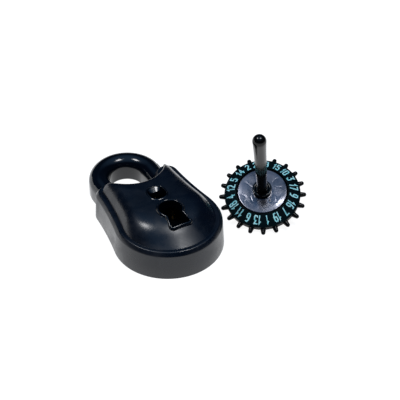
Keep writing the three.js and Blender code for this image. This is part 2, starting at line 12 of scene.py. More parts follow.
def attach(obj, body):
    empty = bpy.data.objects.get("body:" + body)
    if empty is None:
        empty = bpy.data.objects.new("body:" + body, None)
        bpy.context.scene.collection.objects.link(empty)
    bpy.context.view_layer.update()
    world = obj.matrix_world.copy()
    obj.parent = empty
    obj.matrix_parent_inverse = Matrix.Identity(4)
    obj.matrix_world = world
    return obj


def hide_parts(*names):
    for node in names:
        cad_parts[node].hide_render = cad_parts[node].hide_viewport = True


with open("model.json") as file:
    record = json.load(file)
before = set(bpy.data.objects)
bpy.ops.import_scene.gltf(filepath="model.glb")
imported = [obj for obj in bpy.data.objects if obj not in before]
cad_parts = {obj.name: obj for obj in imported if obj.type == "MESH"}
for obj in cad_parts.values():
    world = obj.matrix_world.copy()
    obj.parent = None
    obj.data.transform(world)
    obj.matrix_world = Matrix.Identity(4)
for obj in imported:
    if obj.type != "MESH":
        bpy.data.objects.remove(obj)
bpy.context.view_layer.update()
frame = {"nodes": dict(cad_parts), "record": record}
RECORD = frame["record"]
MM = 0.001

# ---------- dimensions, in millimetres, the same as the CAD part's ----------
ROUND_R = 25.0
WAIST_R = 165.0
SHOULDER = (9.3, 29.33, 12.16)
HOLLOW = (36.24, 10.45)
TIP_R = 6.29
WALL = 1.8
BOSS_R = 2.3
DRAFT = math.tan(math.radians(3))
WALL_TOP = 12.1
EDGE_BEND = (1.0, 12.9)
EDGE_TOP = (1.8, 13.85)
RIM_Z = 14.0
FOOT = dict(inset=3.8, z=13.8)
INNER_STEP = 1.4
FACE = dict(rise=8.62, fillet=1.04, power=1.9, ear_power=5.2, ear_from=-22.0, ear_over=32.0, blend=4)
DOME_C = (0.0, 4.0)
MESH_C = (0.0, -2.4)
KEYHOLE = dict(x=0.0, y=-2.4, r=5.1, neck=3.6, neck_y=-7.0, foot=4.6, foot_y=-12.4)
WINDOW = dict(x=0.0, y=10.3, w=7.6, h=8.4, corner=3.2)
FACE_UNDER_Z = 17.2
LIP_SEAT, FRAME_SEAT = 0.55, 0.35
CUT_LOW, CUT_HIGH = 8, 40
BOSSES = ((18.3, 12.5, 22.0), (-18.3, 12.5, 22.0), (-2.5, 20.9, 22.0), (0.0, -20.7, 7.5))
BOSS_LOW, BOSS_SKIN = 2.3, 0.9
SCREW_HOLE = ((1.2, 1.0), (1.2, 6.4))
BOW = dict(y=41.4, inner=7.9, outer=17.4, height=11.2)
TANG = dict(inner=8.9, outer=16.4, low=2.6, high=9.6)
SLOT_Y = (24, 45)
HEEL_END, TOE_END = 16.8, 19.2
LEG_LOW, LEG_HIGH = 15.0, 7.0
POCKET = dict(depth=3.0, y=(20.5, 24.0), z=(1.6, 5.3))
TAIL = dict(inner=9.5, outer=14.9, low=2.6, high=5.9)
CLIP_Y, CLIP_T, CLIP_BITE = 6.4, 1.0, 0.7
GAP = 0.3
DIAL_AT = (50.35, 1.3, 0.02)
LEAN_TO = math.radians(-128.9)
PEGS, PEG_Z, PEG_R, PEG_END, PEG_ROOT = 20, 8.7, 1.0, 20.0, 15.6
PEG_TURN = 2 * math.pi / PEGS
WHEEL = dict(r=17.0, low=7.2, high=9.9, hub_r=5.0, hub_low=4.7, bore=2.3)
RING = dict(inner=11.9, outer=17.4, low=10.2, outer_top=11.0, inner_top=13.6)
RING_BEVEL = 0.3
DISC = dict(r=11.6, low=10.2, edge=13.3, crown=0.6, corner=0.9, bore=2.3)
COLLAR = dict(r=4.4, bore=2.3, high=16.0, notch=1.4)
POST = dict(low=1.9, bore=1.5, bore_top=5.9, r=2.0, shoulder=16.4, shaft_r=2.35, middle_r=2.7, middle=40.0,
            top_r=3.1, top=61.2)
NUMBERS = (1, 19, 7, 16, 9, 17, 3, 10, 15, 8, 20, 2, 14, 5, 12, 4, 18, 11, 6, 13)


# ---------- meshes ----------
def new_object(name, verts, faces, smooth_angle=35.0):
    """A shown mesh object from points in millimetres, its normals facing out, smooth below smooth_angle."""
    mesh = bpy.data.meshes.new(name)
    mesh.from_pydata([tuple(c * MM for c in v) for v in verts], [], faces)
    obj = bpy.data.objects.new(name, mesh)
    bpy.context.scene.collection.objects.link(obj)
    bm = bmesh.new()
    bm.from_mesh(mesh)
    bmesh.ops.recalc_face_normals(bm, faces=bm.faces)
    bm.to_mesh(mesh)
    bm.free()
    smooth(obj, smooth_angle)
    return obj


def smooth(obj, angle=35.0):
    obj.data.shade_smooth()
    obj.data.set_sharp_from_angle(angle=math.radians(angle))


def loft(rings, close=False, caps=True):
    """Vertices and faces through rings of equal length; close joins the last ring to the first."""
    n = len(rings[0])
    verts = [tuple(p) for ring in rings for p in ring]
    faces = []
    spans = len(rings) if close else len(rings) - 1
    for k in range(spans):
        a, b = k * n, ((k + 1) % len(rings)) * n
        faces += [(a + i, a + (i + 1) % n, b + (i + 1) % n, b + i) for i in range(n)]
    if caps and not close:
        for start in (0, (len(rings) - 1) * n):
            centre = len(verts)
            verts.append(tuple(np.mean(np.array(verts[start:start + n]), axis=0)))
            faces += [(start + i, start + (i + 1) % n, centre) for i in range(n)]
    return verts, faces


def turned(profile, sides, closed=False):
    """Vertices and faces of a profile of (radius, height) turned about +Z; closed joins its ends."""
    rings = []
    for r, z in profile:
        r = max(r, 1e-4)
        rings.append([(r * math.cos(a), r * math.sin(a), z)
                      for a in np.linspace(0, 2 * math.pi, sides, endpoint=False)])
    return loft(rings, close=closed)


def merge(*parts):
    verts, faces = [], []
    for v, f in parts:
        base = len(verts)
        verts += list(v)
        faces += [tuple(i + base for i in face) for face in f]
    return verts, faces


def boolean(obj, cutter, operation="DIFFERENCE"):
    """Cuts obj with cutter, or joins it, and removes cutter."""
    modifier = obj.modifiers.new("cut", "BOOLEAN")
    modifier.operation = operation
    modifier.solver = "MANIFOLD"
    modifier.object = cutter
    bpy.context.view_layer.update()
    depsgraph = bpy.context.evaluated_depsgraph_get()
    mesh = bpy.data.meshes.new_from_object(obj.evaluated_get(depsgraph))
    obj.modifiers.clear()
    old = obj.data
    obj.data = mesh
    bpy.data.meshes.remove(old)
    mesh.name = obj.name
    bpy.data.objects.remove(cutter)


def level(points, z):
    return [(x, y, z) for x, y in points]


def box_mesh(x0, x1, y0, y1, z0, z1):
    corners = [(x0, y0), (x1, y0), (x1, y1), (x0, y1)]
    faces = [(3, 2, 1, 0), (4, 5, 6, 7), (0, 1, 5, 4), (1, 2, 6, 5), (2, 3, 7, 6), (3, 0, 4, 7)]
    return level(corners, z0) + level(corners, z1), faces


def arc(cx, cy, r, start, end, steps):
    return [(cx + r * math.cos(a), cy + r * math.sin(a)) for a in np.linspace(start, end, steps + 1)]


def crossing(x0, y0, r0, x1, y1, r1):
    """The crossing of two circles on the right of the line from the first centre to the second."""
    d = math.hypot(x1 - x0, y1 - y0)
    along = (r0 * r0 - r1 * r1 + d * d) / (2 * d)
    side = math.sqrt(max(r0 * r0 - along * along, 0))
    ux, uy = (x1 - x0) / d, (y1 - y0) / d
    return x0 + along * ux + side * uy, y0 + along * uy - side * ux


# ---------- casing ----------
def side_arcs(inset, shoulder_end):
    """The right-hand arcs from the low end to an angle on the shoulder."""
    sx, sy, sr = SHOULDER
    wx, wy = crossing(0, 0, ROUND_R + WAIST_R, sx, sy, sr + WAIST_R)
    to_waist = math.atan2(wy, wx)
    waist_end = math.atan2(sy - wy, sx - wx) % (2 * math.pi)
    half = arc(0, 0, ROUND_R - inset, -math.pi / 2, to_waist, 84)
    half += arc(wx, wy, WAIST_R + inset, to_waist + math.pi, waist_end, 14)[1:]
    half += arc(sx, sy, sr - inset, waist_end - math.pi, shoulder_end, 36)[1:]
    return half


def both_sides(half):
    return half + [(-x, y) for x, y in half[-2:0:-1]]


def outline(inset):
    """The casing's outline moved inwards by inset, counter-clockwise from the low end."""
    sx, sy, sr = SHOULDER
    hy, hr = HOLLOW
    tip = max(TIP_R - inset, 0.5)
    fx, fy = crossing(sx, sy, sr - inset - tip, 0, hy, hr + inset + tip)
    shoulder_end = math.atan2(fy - sy, fx - sx)
    half = side_arcs(inset, shoulder_end)
    half += arc(fx, fy, tip, shoulder_end, math.atan2(hy - fy, -fx), 24)[1:]
    half += arc(0, hy, hr + inset, math.atan2(fy - hy, fx), -math.pi / 2, 26)[1:]
    return both_sides(half)


def full_outline(inset):
    """The same outline with the hollow filled in."""
    return both_sides(side_arcs(inset, math.pi / 2) + [(0, SHOULDER[1] + SHOULDER[2] - inset)])


def reach(line, points):
    """How many times each point's way from DOME_C fits before it meets a line round DOME_C."""
    a = np.array(line) - DOME_C
    e = np.roll(a, -1, axis=0) - a
    d = np.array(points) - DOME_C
    det = d[:, :1] * e[:, 1] - d[:, 1:] * e[:, 0]
    with np.errstate(divide="ignore", invalid="ignore"):
        times = (a[:, 0] * e[:, 1] - a[:, 1] * e[:, 0]) / det
        part = (a[:, 0] * d[:, 1:] - a[:, 1] * d[:, :1]) / det
    times[~((part > -1e-9) & (part < 1 + 1e-9))] = 0
    return times.max(axis=1)


def distance_to(line, points):
    a = np.array(line)
    e = np.roll(a, -1, axis=0) - a
    d = np.array(points)[:, None, :] - a[None]
    k = np.clip((d * e).sum(2) / (e * e).sum(1), 0, 1)
    return np.sqrt(((d - k[..., None] * e) ** 2).sum(2)).min(axis=1)


def face_rise(points, full, foot):
    """The face's height over its foot: a flat-topped dome that falls off steeply along the foot line."""
    f = FACE
    y = np.array(points)[:, 1]
    out = 1 / np.maximum(reach(full, points), 1)
    u = np.clip((y - f["ear_from"]) / f["ear_over"], 0, 1)
    n = f["power"] + (f["ear_power"] - f["power"]) * u * u * (3 - 2 * u)
    dome = np.maximum(1 - out ** n, 1e-6)
    soft = 0.3
    edge = np.sqrt(distance_to(foot, points) ** 2 + soft ** 2) - soft
    rim = np.maximum(np.tanh(edge / (f["fillet"] - soft / 2)), 1e-6)
    return f["rise"] * (dome ** -f["blend"] + rim ** -f["blend"]) ** (-1 / f["blend"])


def face_rings(inset, z, steps, sharp=1.6):
    """Rings of the face from its foot line up, closer together near the foot."""
    foot, full = outline(inset), full_outline(inset)
    rings = []
    for i in range(steps):
        s = 1 - (i / steps) ** sharp
        points = [(MESH_C[0] + (x - MESH_C[0]) * s, MESH_C[1] + (y - MESH_C[1]) * s) for x, y in foot]
        rings.append([(x, y, z + float(h)) for (x, y), h in zip(points, face_rise(points, full, foot))])
    return rings


def bend(start, over, end, t):
    return [(1 - t) ** 2 * a + 2 * t * (1 - t) * b + t * t * c for a, b, c in zip(start, over, end)]


def casing_rings(grow=0.0, dome_steps=84):
    """The casing's outside, from its low edge over the bevel, the rim and the border to the face."""
    foot_r = 0.35
    rings = [level(outline(foot_r - grow), -grow)]
    for a in np.linspace(0, math.pi / 2, 5)[1:]:
        rings.append(level(outline(foot_r * (1 - math.sin(a)) - grow), foot_r * (1 - math.cos(a)) - grow))
    start = (DRAFT * WALL_TOP, WALL_TOP)
    for t in (0.5, 0.97):
        rings.append(level(outline(start[0] * t - grow), foot_r + (WALL_TOP - foot_r) * t))
    profile = [(*bend(start, EDGE_BEND, EDGE_TOP, t), t) for t in np.linspace(0, 1, 9)]
    profile += [(2.0, 13.975, 1), (2.25, RIM_Z, 1), (2.7, RIM_Z, 1), (3.0, 13.98, 1), (3.2, 13.92, 1),
                (3.4, 13.84, 1), (3.6, FOOT["z"], 1)]
    for inset, z, t in profile:
        rings.append(level(outline(inset - grow), z + grow * t))
    return rings + face_rings(FOOT["inset"] - grow, FOOT["z"] + grow, dome_steps)


def casing_inside():
    high = WALL_TOP - WALL
    rings = [level(outline(WALL), -1), level(outline(WALL + DRAFT * high), high),
             level(outline(WALL + EDGE_TOP[0]), EDGE_TOP[1] - WALL)]
    return rings + face_rings(FOOT["inset"] + INNER_STEP, FOOT["z"] - WALL + 0.05, 30)


def arc_normals(cx, cy, r, start, end, steps, flip=1):
    """Points (x, y, normal x, normal y) of an arc, the normals pointing away from the opening."""
    return [(cx + r * math.cos(a), cy + r * math.sin(a), flip * math.cos(a), flip * math.sin(a))
            for a in np.linspace(start, end, steps + 1)]


def keyhole_path():
    k = KEYHOLE
    R, fillet, corner = k["r"], 1.7, 0.7
    neck = Vector((k["neck"], k["neck_y"]))
    foot = Vector((k["foot"], k["foot_y"]))
    along = (foot - neck).normalized()
    out = Vector((-along.y, along.x))
    base = neck + fillet * out - Vector((0, k["y"]))
    b = base.dot(along)
    t = -b + math.sqrt(b * b - (base.length_squared - (R + fillet) ** 2))
    centre = neck + fillet * out + t * along
    to_circle = math.atan2(centre.y - k["y"], centre.x)
    points = arc_normals(0, k["y"], R, math.pi / 2, to_circle, 44)
    start = to_circle + math.pi
    end = math.atan2(-out.y, -out.x)
    if end < start - math.pi:
        end += 2 * math.pi
    points += arc_normals(centre.x, centre.y, fillet, start, end, 12, flip=-1)[1:]
    # foot corner: a small inside radius
    drop = (foot.y + corner - (neck.y - corner * out.y)) / along.y
    c = neck - corner * out + drop * along
    points += arc_normals(c.x, c.y, corner, math.atan2(out.y, out.x), -math.pi / 2, 10)
    half = points
    straight = [(x, k["foot_y"], 0.0, -1.0) for x in np.linspace(c.x, -c.x, 14)[1:-1]]
    other = [(-x, y, -nx, ny) for x, y, nx, ny in reversed(half)]
    return half + straight + other[:-1]


def window_path():
    w = WINDOW
    a, b, r = w["w"] / 2 - w["corner"], w["h"] / 2 - w["corner"], w["corner"]
    q = math.pi / 2
    points = []
    for i, (sx, sy) in enumerate(((1, 1), (-1, 1), (-1, -1), (1, -1))):
        points += arc_normals(w["x"] + sx * a, w["y"] + sy * b, r, i * q, (i + 1) * q, 14)
    return points


def surface_tree():
    """The casing's outside, to look up the face's height in."""
    verts, faces = loft(casing_rings())
    return BVHTree.FromPolygons([Vector(v) for v in verts], faces)


def surface_z(tree, x, y):
    hit = tree.ray_cast(Vector((x, y, 60)), Vector((0, 0, -1)))
    return hit[0].z


def bead(name, path, profile, tree, slant=0.0):
    """A moulded lip round an opening: profile is (distance out, height above the face, None for its back).

    slant is how far the lower part of the opening's far wall leans in.
    """
    rings = []
    for x, y, nx, ny in path:
        ring = []
        for d, h in profile:
            leaning = h is None or h < -1
            d -= slant * max(ny, 0.0) if leaning else 0.0
            px, py = x + nx * d, y + ny * d
            ring.append((px, py, FACE_UNDER_Z if h is None else surface_z(tree, px, py) + h))
        rings.append(ring)
    return new_object(name, *loft(rings, close=True), smooth_angle=50)


def prism_cutter(path, grow):
    """An upright prism on an opening's outline grown by grow, to cut the face with."""
    points = [(x + nx * grow, y + ny * grow) for x, y, nx, ny in path]
    verts, faces = loft([level(points, CUT_LOW), level(points, CUT_HIGH)], caps=False)
    n = len(points)
    faces += [tuple(range(n - 1, -1, -1)), tuple(range(n, 2 * n))]
    return new_object("cutter", verts, faces)


def front_casing(tree):
    """The hollow shell with its screw bosses, its two openings and the slots for the shackle's legs."""
    shell = new_object("casing_shell", *loft(casing_rings()), smooth_angle=40)
    inside = new_object("cutter", *loft(casing_inside()))
    boolean(shell, inside)
    bosses = []
    for x, y, top in BOSSES:
        skin = min(surface_z(tree, x + BOSS_R * math.cos(a), y + BOSS_R * math.sin(a))
                   for a in np.linspace(0, 2 * math.pi, 24))
        verts, faces = turned([(BOSS_R, BOSS_LOW), (BOSS_R, min(top, skin - BOSS_SKIN))], 40)
        bosses.append(([(x + px, y + py, z) for px, py, z in verts], faces))
    boolean(shell, new_object("cutter", *merge(*bosses)), "UNION")
    holes = []
    for x, y, _ in BOSSES:
        verts, faces = turned(SCREW_HOLE, 24)
        holes.append(([(x + px, y + py, z) for px, py, z in verts], faces))
    boolean(shell, new_object("cutter", *merge(*holes)))
    boolean(shell, prism_cutter(keyhole_path(), LIP_SEAT))
    boolean(shell, prism_cutter(window_path(), FRAME_SEAT))
    for side in (-1, 1):
        x0, x1 = sorted((side * (TANG["inner"] - GAP), side * (TANG["outer"] + GAP)))
        slot = box_mesh(x0, x1, *SLOT_Y, TANG["low"] - GAP, TANG["high"] + GAP)
        boolean(shell, new_object("cutter", *slot))
    smooth(shell, 32)
    return shell


# ---------- shackle ----------
def bow_section():
    """(radius, height) round the bow's section: flat below, upright sides, round top."""
    inner, outer, height = BOW["inner"], BOW["outer"], BOW["height"]
    r = (outer - inner) / 2
    middle = (inner + outer) / 2
    foot = 0.6
    quarter = np.linspace(0, math.pi / 2, 5)
    low = [(outer - foot + foot * math.sin(a), foot - foot * math.cos(a)) for a in quarter]
    top = arc(middle, height - r, r, 0, math.pi, 36)
    left = [(inner + foot - foot * math.cos(a), foot - foot * math.sin(a)) for a in quarter]
    flat = [(x, 0.0) for x in np.linspace(inner + foot, outer - foot, 6)[1:-1]]
    return low + top + left + flat


def tail_box(shrink, y0, y1):
    return box_mesh(-TAIL["outer"] + shrink, -TAIL["inner"] - shrink, y0, y1,
                    TAIL["low"] + shrink, TAIL["high"] - shrink)


def heel_tail():
    """The thin rod behind the heel, necked for its clip."""
    low, high = CLIP_Y - GAP, CLIP_Y + CLIP_T + GAP
    return (tail_box(0, high, HEEL_END + 1), tail_box(CLIP_BITE + GAP, low - 0.5, high + 0.5),
            tail_box(0, low - 1, low))


def shackle():
    """The bow, cut to the casing's shape, with its two inner legs, the latch's pocket and the heel's tail."""
    section = bow_section()
    rings = [[(r, BOW["y"] - leg, z) for r, z in section] for leg in (LEG_LOW, LEG_HIGH)]
    for a in np.linspace(0, math.pi, 97):
        rings.append([(r * math.cos(a), BOW["y"] + r * math.sin(a), z) for r, z in section])
    rings += [[(-r, BOW["y"] - leg, z) for r, z in section] for leg in (LEG_HIGH, LEG_LOW)]
    bow = new_object("shackle_bow", *loft(rings), smooth_angle=40)
    boolean(bow, new_object("cutter", *loft(casing_rings(grow=0.35, dome_steps=24))))
    for side, end in ((-1, HEEL_END), (1, TOE_END)):
        x0, x1 = sorted((side * TANG["inner"], side * TANG["outer"]))
        tang = new_object("cutter", *box_mesh(x0, x1, end, BOW["y"], TANG["low"], TANG["high"]))
        boolean(bow, tang, "UNION")
    pocket = box_mesh(TANG["inner"] - 1, TANG["inner"] + POCKET["depth"], *POCKET["y"], *POCKET["z"])
    boolean(bow, new_object("cutter", *pocket))
    for part in heel_tail():
        boolean(bow, new_object("cutter", *part), "UNION")
    smooth(bow, 35)
    return bow


# ---------- dial ----------
def lean_angle():
    out = (PEG_END - PEG_R) * math.cos(PEG_TURN / 2)
    return math.acos(PEG_R / math.hypot(PEG_Z, out)) - math.atan2(out, PEG_Z)


def stand_dial(obj):
    """Moves a piece from the dial's own frame to its place on the table."""
    axis = Vector((-math.sin(LEAN_TO), math.cos(LEAN_TO), 0))
    turn = Matrix.Rotation(lean_angle(), 4, axis)
    obj.data.transform(Matrix.Translation(Vector(DIAL_AT) * MM) @ turn)
    return obj


def rounded(profile, corners, steps=4):
    """Rounds the named corners (index: radius) of a closed (r, z) profile."""
    out = []
    n = len(profile)
    for i, p in enumerate(profile):
        if i not in corners:
            out.append(p)
            continue
        p0, p1, p2 = (Vector(profile[j % n]) for j in (i - 1, i, i + 1))
        r = corners[i]
        a, b = (p0 - p1).normalized() * r, (p2 - p1).normalized() * r
        for t in map(float, np.linspace(0, 1, steps + 1)):
            q = (1 - t) ** 2 * (p1 + a) + 2 * t * (1 - t) * p1 + t * t * (p1 + b)
            out.append((q.x, q.y))
    return out


def dial_wheel():
    """The wheel and its ring of round-nosed pegs."""
    w = WHEEL
    r = w["r"]
    body = rounded([(w["bore"], w["hub_low"]), (w["hub_r"], w["hub_low"]), (w["hub_r"] + 1.5, w["low"]),
                    (r - 0.4, w["low"]), (r, w["low"] + 0.4), (r, w["high"]), (w["bore"], w["high"])],
                   {1: 0.5, 2: 0.6, 3: 0.3, 5: 0.35})
    parts = [turned(body, 180, closed=True)]
    tip = arc(PEG_END - PEG_R - PEG_ROOT, 0, PEG_R, 0, math.pi / 2, 8)
    profile = [(0.0, 0.0), (1.45, 0.0), (1.42, 0.9), (1.32, 1.5), (1.16, 2.4)]
    profile += [(y, x) for x, y in reversed(tip)]
    pin_v, pin_f = turned(profile, 28)
    for i in range(PEGS):
        a = LEAN_TO + (i + 0.5) * PEG_TURN
        turn = Matrix.Rotation(a, 3, "Z") @ Matrix.Rotation(math.pi / 2, 3, "Y")
        root = Vector((PEG_ROOT * math.cos(a), PEG_ROOT * math.sin(a), PEG_Z))
        parts.append(([tuple(turn @ Vector(v) + root) for v in pin_v], pin_f))
    return stand_dial(new_object("dial_wheel_body", *merge(*parts), smooth_angle=40))


def number_ring():
    g = RING
    body = rounded([(g["inner"], g["low"]), (g["outer"], g["low"]), (g["outer"], g["outer_top"] - 0.2),
                    (g["outer"] - RING_BEVEL, g["outer_top"]), (g["inner"], g["inner_top"])],
                   {2: 0.1, 3: 0.15, 4: 0.2}, 6)
    return stand_dial(new_object("dial_number_ring", *turned(body, 220, closed=True), smooth_angle=45))


def disc_top(r):
    return DISC["edge"] + DISC["crown"] * (1 - (r / DISC["r"]) ** 2)


def disc_ripple(x, y):
    """Sink marks and creases of the moulded disc, in millimetres."""
    broad = noise.noise(Vector((x * 0.16, y * 0.16, 3.1)))
    crease = abs(noise.noise(Vector((x * 0.22 + 7, y * 0.22, 9.4))))
    fine = abs(noise.noise(Vector((x * 0.55, y * 0.55 + 4, 1.7))))
    return 0.18 * broad - 0.45 * max(0.0, 0.12 - crease) - 0.10 * max(0.0, 0.10 - fine)


def centre_disc():
    """The disc's ripple fades out at its rolled edge and under the hub's collar."""
    d = DISC
    c = d["corner"]
    flat_r, collar_r, sides, rings = d["r"] - c, 4.2, 240, []
    radii = list(np.linspace(d["bore"], flat_r, 42))
    roll = [(flat_r + c * math.sin(a), c * (1 - math.cos(a))) for a in np.linspace(0, math.pi / 2, 12)[1:]]
    for r in radii:
        ring = []
        for a in np.linspace(0, 2 * math.pi, sides, endpoint=False):
            x, y = r * math.cos(a), r * math.sin(a)
            fade = min(1.0, (flat_r - r) / 1.5, max(0.0, r - collar_r))
            ring.append((x, y, disc_top(r) + disc_ripple(x, y) * max(fade, 0)))
        rings.append(ring)
    edge_z = disc_top(radii[-1])
    for r, z in [(r, edge_z - drop) for r, drop in roll] + [(d["r"], d["low"]), (d["bore"], d["low"])]:
        rings.append([(r * math.cos(a), r * math.sin(a), z)
                      for a in np.linspace(0, 2 * math.pi, sides, endpoint=False)])
    return stand_dial(new_object("dial_centre_disc", *loft(rings, close=True), smooth_angle=50))


def hub_collar():
    c = COLLAR
    low = disc_top(c["bore"]) + 0.3
    body = rounded([(c["bore"], low), (c["r"], low), (c["r"], c["high"]), (c["r"] - 1.1, c["high"]),
                    (c["r"] - 1.5, c["high"] - 0.5), (c["bore"], c["high"] - 0.5)],
                   {2: 0.4, 3: 0.3, 4: 0.2}, 6)
    ring = new_object("dial_hub_collar", *turned(body, 120, closed=True), smooth_angle=45)
    half = c["notch"] / 2
    verts, faces = box_mesh(c["r"] - 2, c["r"] + 2, -half, half, c["high"] - 1, c["high"] + 1)
    turn = Matrix.Rotation(LEAN_TO, 3, "Z")
    boolean(ring, new_object("cutter", [tuple(turn @ Vector(v)) for v in verts], faces))
    smooth(ring, 40)
    return stand_dial(ring)


def post():
    """The long post; its low end has the bore that turns on the point."""
    p = POST
    end = arc(0, p["top"] - p["top_r"], p["top_r"], 0, math.pi / 2, 20)
    profile = [(0, p["bore_top"]), (p["bore"], p["bore_top"]), (p["bore"], p["low"]),
               (p["r"] - 0.25, p["low"]), (p["r"], p["low"] + 0.25), (p["r"], p["shoulder"]),
               (p["shaft_r"] - 0.1, p["shoulder"]), (p["shaft_r"], p["shoulder"] + 0.1)]
    profile += [(p["shaft_r"] + (p["middle_r"] - p["shaft_r"]) * t,
                 p["shoulder"] + (p["middle"] - p["shoulder"]) * t) for t in (0.25, 0.5, 0.75, 1.0)]
    profile += [(2.85, 50.0), (p["top_r"] - 0.06, p["top"] - p["top_r"] - 2)]
    profile += [(max(x, 0.0), z) for x, z in end]
    return stand_dial(new_object("dial_post", *turned(profile, 96), smooth_angle=40))


# ---------- numbers ----------
# Each digit is one pen stroke: points (across, up), as shares of DIGIT_W and DIGIT_H.
STROKES = {
    "0": ((0.1, 0.0), (0.5, 0.0), (0.6, 0.12), (0.6, 0.88), (0.5, 1.0), (0.1, 1.0), (0.0, 0.88),
          (0.0, 0.12), (0.1, 0.0)),
    "1": ((0.12, 0.72), (0.36, 1.0), (0.36, 0.0)),
    "2": ((0.0, 0.84), (0.12, 1.0), (0.48, 1.0), (0.6, 0.86), (0.6, 0.62), (0.04, 0.12), (0.0, 0.0),
          (0.62, 0.0)),
    "3": ((0.0, 1.0), (0.6, 1.0), (0.28, 0.6), (0.48, 0.58), (0.6, 0.44), (0.6, 0.14), (0.48, 0.0),
          (0.12, 0.0), (0.0, 0.14)),
    "4": ((0.46, 0.0), (0.46, 1.0), (0.0, 0.3), (0.64, 0.3)),
    "5": ((0.58, 1.0), (0.06, 1.0), (0.04, 0.58), (0.46, 0.58), (0.6, 0.44), (0.6, 0.14), (0.48, 0.0),
          (0.1, 0.0), (0.0, 0.12)),
    "6": ((0.54, 1.0), (0.24, 1.0), (0.0, 0.6), (0.0, 0.14), (0.12, 0.0), (0.48, 0.0), (0.6, 0.14),
          (0.6, 0.42), (0.48, 0.56), (0.02, 0.56)),
    "7": ((0.0, 1.0), (0.6, 1.0), (0.22, 0.0)),
    "8": ((0.1, 0.54), (0.0, 0.42), (0.0, 0.12), (0.1, 0.0), (0.5, 0.0), (0.6, 0.12), (0.6, 0.42),
          (0.5, 0.54), (0.1, 0.54), (0.04, 0.64), (0.04, 0.88), (0.14, 1.0), (0.46, 1.0), (0.56, 0.88),
          (0.56, 0.64), (0.5, 0.54)),
    "9": ((0.06, 0.0), (0.36, 0.0), (0.6, 0.4), (0.6, 0.86), (0.48, 1.0), (0.12, 1.0), (0.0, 0.86),
          (0.0, 0.58), (0.12, 0.44), (0.58, 0.44)),
}
DIGIT_H, DIGIT_W, DIGIT_PEN, DIGIT_R, DIGIT_GAP = 4.2, 2.6, 0.55, 14.5, 0.42
DIGIT_RISE, DIGIT_SINK = 0.07, 0.1


def ribbon(points, width, z0, z1):
    """A flat stroke along points, its ends square."""
    pts = [Vector(p) for p in points]
    closed = (pts[0] - pts[-1]).length < 1e-6
    if closed:
        pts = pts[:-1]
    n = len(pts)
    left, right = [], []
    for i, p in enumerate(pts):
        before = pts[i - 1] if (closed or i > 0) else None
        after = pts[(i + 1) % n] if (closed or i < n - 1) else None
        d0 = (p - before).normalized() if before is not None else (after - p).normalized()
        d1 = (after - p).normalized() if after is not None else d0
        n0, n1 = Vector((-d0.y, d0.x)), Vector((-d1.y, d1.x))
        mitre = (n0 + n1).normalized()
        mitre = mitre / max(0.45, mitre.dot(n0)) * width / 2
        end = Vector((0, 0))
        if before is None:
            end = -d1 * width / 2
        if after is None:
            end = d0 * width / 2
        left.append(p + mitre + end)
        right.append(p - mitre + end)
    verts, faces = [], []
    for a, b in zip(left, right):
        verts += [(a.x, a.y, z0), (a.x, a.y, z1), (b.x, b.y, z1), (b.x, b.y, z0)]
    for i in range(n if closed else n - 1):
        a, b = 4 * i, 4 * ((i + 1) % n)
        faces += [(a + k, a + (k + 1) % 4, b + (k + 1) % 4, b + k) for k in range(4)]
    if not closed:
        faces += [(0, 1, 2, 3), (4 * n - 1, 4 * n - 2, 4 * n - 3, 4 * n - 4)]
    return verts, faces


def dial_numbers():
    """The numbers, standing on the sloping ring, their feet towards the dial's rim."""
    parts = []
    slope = math.atan2(RING["inner_top"] - RING["outer_top"], RING["outer"] - RING_BEVEL - RING["inner"])
    along, up = math.cos(slope), math.sin(slope)
    middle_z = RING["inner_top"] - math.tan(slope) * (DIGIT_R - RING["inner"])
    for i, number in enumerate(NUMBERS):
        a = LEAN_TO + (i + 1) * PEG_TURN
        text = str(number)
        widths = [(0.5 if c == "1" else 0.62) * DIGIT_W for c in text]
        x = -(sum(widths) + DIGIT_GAP * (len(text) - 1)) / 2 + DIGIT_PEN / 2
        for c, width in zip(text, widths):
            stroke = [(x + px * (DIGIT_W - DIGIT_PEN), (py - 0.5) * (DIGIT_H - DIGIT_PEN))
                      for px, py in STROKES[c]]
            verts, faces = ribbon(stroke, DIGIT_PEN, -DIGIT_SINK, DIGIT_RISE)
            placed = []
            for px, py, h in verts:
                radius, swing = DIGIT_R + py * along + h * up, a - px / (DIGIT_R + py * along)
                z = middle_z - py * up + h * along
                placed.append((radius * math.cos(swing), radius * math.sin(swing), z))
            parts.append((placed, faces))
            x += width + DIGIT_GAP
    return stand_dial(new_object("dial_numbers", *merge(*parts), smooth_angle=20))


# ---------- materials ----------
def shader(name):
    material = bpy.data.materials.new(name)
    material.use_nodes = True
    tree = material.node_tree
    return material, tree, tree.nodes["Principled BSDF"]


def coordinates(tree, scale=(1, 1, 1)):
    source = tree.nodes.new("ShaderNodeTexCoord")
    mapping = tree.nodes.new("ShaderNodeMapping")
    mapping.inputs["Scale"].default_value = scale
    tree.links.new(source.outputs["Object"], mapping.inputs["Vector"])
    return mapping.outputs["Vector"]


def noise_value(tree, vector, scale, detail=3.0, roughness=0.5, distortion=0.0):
    node = tree.nodes.new("ShaderNodeTexNoise")
    node.inputs["Scale"].default_value = scale
    node.inputs["Detail"].default_value = detail
    node.inputs["Roughness"].default_value = roughness
    node.inputs["Distortion"].default_value = distortion
    tree.links.new(vector, node.inputs["Vector"])
    return node.outputs["Fac"]


def remap(tree, value, low, high, to_low, to_high):
    node = tree.nodes.new("ShaderNodeMapRange")
    node.inputs["From Min"].default_value = low
    node.inputs["From Max"].default_value = high
    node.inputs["To Min"].default_value = to_low
    node.inputs["To Max"].default_value = to_high
    tree.links.new(value, node.inputs["Value"])
    return node.outputs["Result"]


